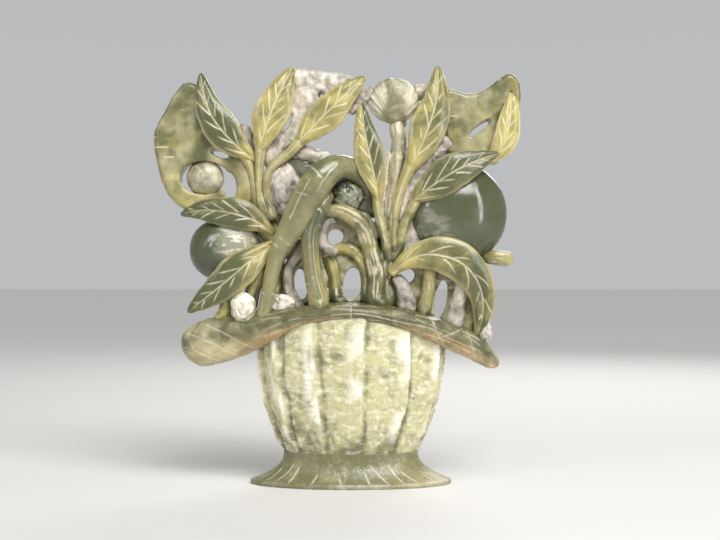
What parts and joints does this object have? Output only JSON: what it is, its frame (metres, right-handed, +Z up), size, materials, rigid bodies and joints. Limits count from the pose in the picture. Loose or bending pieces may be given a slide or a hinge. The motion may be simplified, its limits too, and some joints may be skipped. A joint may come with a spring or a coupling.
{
  "type": "carved jade fruit basket ornament",
  "caption": "Openwork stone carving of a ribbed footed basket with an arched handle, holding peaches, buds, a flower and leaves on curving stems.",
  "frame": {"origin": "middle of the foot's flat underside", "axes": "+Z up; -Y towards the carved front; +X to the viewer's right when facing the front"},
  "size_m": [0.1761, 0.046, 0.2002],
  "materials": {
    "basket_jade": "mottled pale yellow-green serpentine, half polished",
    "rim_jade": "green serpentine with tan staining towards the ends, polished",
    "dark_jade": "dark green serpentine, highly polished",
    "leaf_jade": "yellow-green serpentine with cream engraved veins, polished",
    "stem_jade": "yellow serpentine, polished",
    "pale_jade": "pale frosted serpentine",
    "rough_jade": "rough unpolished ground left by the cutting tool"
  },
  "bodies": {
    "root": {"foot": "basket_jade", "basket_body": "basket_jade", "rim": "rim_jade", "handle_limb": "dark_jade", "handle_mid_leg": "dark_jade", "handle_bud": "dark_jade", "leaf_far_left": "leaf_jade", "leaf_upper_left": "leaf_jade", "leaf_top_left": "leaf_jade", "leaf_top_middle": "leaf_jade", "leaf_centre": "leaf_jade", "leaf_top_right": "leaf_jade", "leaf_back_right": "leaf_jade", "leaf_right_edge": "leaf_jade", "leaf_over_right_peach": "leaf_jade", "leaf_lower_right": "leaf_jade", "leaf_over_left_peach": "leaf_jade", "leaf_lower_left": "leaf_jade", "peach_left": "dark_jade", "peach_right": "dark_jade", "peach_right_stub": "stem_jade", "disc_bud": "pale_jade", "frosted_bud": "pale_jade", "flower_head": "pale_jade", "stem_upper_left": "stem_jade", "stem_top_left": "stem_jade", "stem_top_middle": "stem_jade", "stem_centre": "stem_jade", "stem_flower": "pale_jade", "stem_top_right": "stem_jade", "stem_right_peach": "stem_jade", "stem_loop_upper": "stem_jade", "stem_loop_lower": "leaf_jade", "stem_small": "leaf_jade", "knot_ring": "rough_jade", "branch_left": "stem_jade", "twig_left": "rough_jade", "trunk_left": "leaf_jade", "trunk_right": "leaf_jade", "prop_rough": "rough_jade", "prop_stem": "stem_jade", "prop_pale": "rough_jade", "web_lower_left": "leaf_jade", "ground_link": "rough_jade", "ground_bar": "rough_jade", "ground_flower": "rough_jade", "ground_upper_left": "rough_jade", "ground_right": "rough_jade", "ground_top": "rough_jade", "ground_fan": "rough_jade", "ground_handle": "dark_jade", "cave_back": "dark_jade", "web_left": "leaf_jade", "web_middle": "stem_jade", "web_right": "leaf_jade", "cave_rock": "rough_jade", "chunk_left": "rough_jade", "chunk_right": "rough_jade"}
  },
  "joints": []
}
